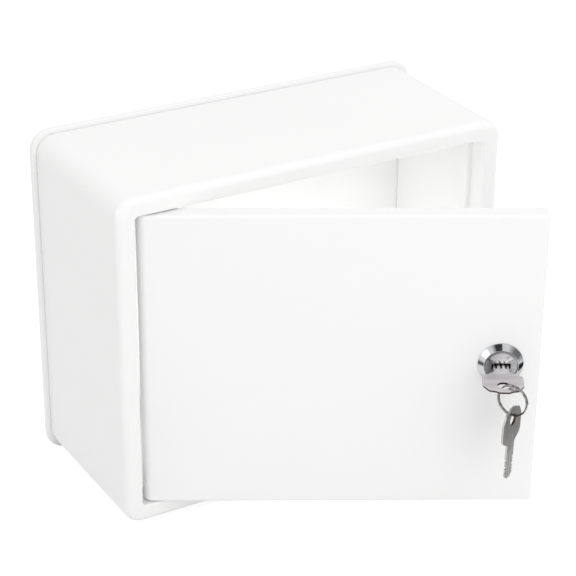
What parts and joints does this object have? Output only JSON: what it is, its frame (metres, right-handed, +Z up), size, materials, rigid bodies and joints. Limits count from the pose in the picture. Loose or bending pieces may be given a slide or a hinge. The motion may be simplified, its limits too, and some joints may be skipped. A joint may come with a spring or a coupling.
{
  "type": "lockable letter box",
  "caption": "Wall letter box: moulded shell, back plate with letter slot, flush side-hinged door standing ajar, cam lock with its key in it and a spare key on a split ring.",
  "frame": {"origin": "Centre of the back plate's flat wall face, at the box's mid width and mid height.", "axes": "+X along the box's width towards the door's free side, +Y into the wall, square to the wall face, +Z up."},
  "size_m": [0.236, 0.22, 0.1938],
  "materials": {
    "shell_plastic": "satin white moulded plastic",
    "plate_plastic": "satin white moulded plastic",
    "door_plastic": "satin white moulded plastic",
    "bezel_chrome": "polished chrome plate",
    "plug_nickel": "bright nickel plate",
    "key_nickel": "brushed nickel plate",
    "spare_nickel": "brushed nickel plate",
    "ring_steel": "bright flat steel wire",
    "zinc_plate": "zinc-plated steel",
    "pin_steel": "plain steel",
    "wafer_brass": "stamped brass"
  },
  "bodies": {
    "case": {"body_shell": "shell_plastic", "back_plate": "plate_plastic", "back_plate_screw_1": "zinc_plate", "back_plate_screw_2": "zinc_plate", "back_plate_screw_3": "zinc_plate", "back_plate_screw_4": "zinc_plate", "hinge_pin_upper": "pin_steel", "hinge_pin_lower": "pin_steel"},
    "door": {"door_panel": "door_plastic", "lock_housing": "bezel_chrome", "lock_washer": "zinc_plate", "lock_nut": "zinc_plate"},
    "plug": {"lock_plug": "plug_nickel", "tumbler_wafer_1": "wafer_brass", "tumbler_wafer_2": "wafer_brass", "tumbler_wafer_3": "wafer_brass", "tumbler_wafer_4": "wafer_brass", "tumbler_wafer_5": "wafer_brass", "wafer_spring_1": "pin_steel", "wafer_spring_2": "pin_steel", "wafer_spring_3": "pin_steel", "wafer_spring_4": "pin_steel", "wafer_spring_5": "pin_steel", "retaining_wafer": "wafer_brass", "cam_stop_washer": "zinc_plate", "lock_cam": "zinc_plate", "cam_washer": "zinc_plate", "cam_screw": "zinc_plate"},
    "key": {"key_in_lock": "key_nickel"},
    "ring": {"key_ring": "ring_steel"},
    "spare": {"spare_key": "spare_nickel"}
  },
  "joints": [
    {"name": "door_hinge", "type": "hinge", "parent": "case", "child": "door", "pos_m": [-0.0963, -0.0948, 0], "axis": [0, 0, -1], "range_deg": [-28.86, 81]},
    {"name": "lock_turn", "type": "hinge", "parent": "door", "child": "plug", "pos_m": [0.05891, -0.18651, 0], "axis": [0.4827, 0.8758, 0], "range_deg": [0, 90]},
    {"name": "key_pull", "type": "slide", "parent": "plug", "child": "key", "axis": [-0.4827, -0.8758, 0], "range_m": [-0.002, 0.03]},
    {"name": "ring_swing", "type": "hinge", "parent": "key", "child": "ring", "pos_m": [0.04858, -0.21202, 0.0006], "axis": [0.3998, -0.9166, 0], "range_deg": [-16, 36]},
    {"name": "spare_key_swing", "type": "hinge", "parent": "ring", "child": "spare", "pos_m": [0.04875, -0.21241, -0.01434], "axis": [0.4919, -0.8706, 0], "range_deg": [-45, 8]}
  ]
}
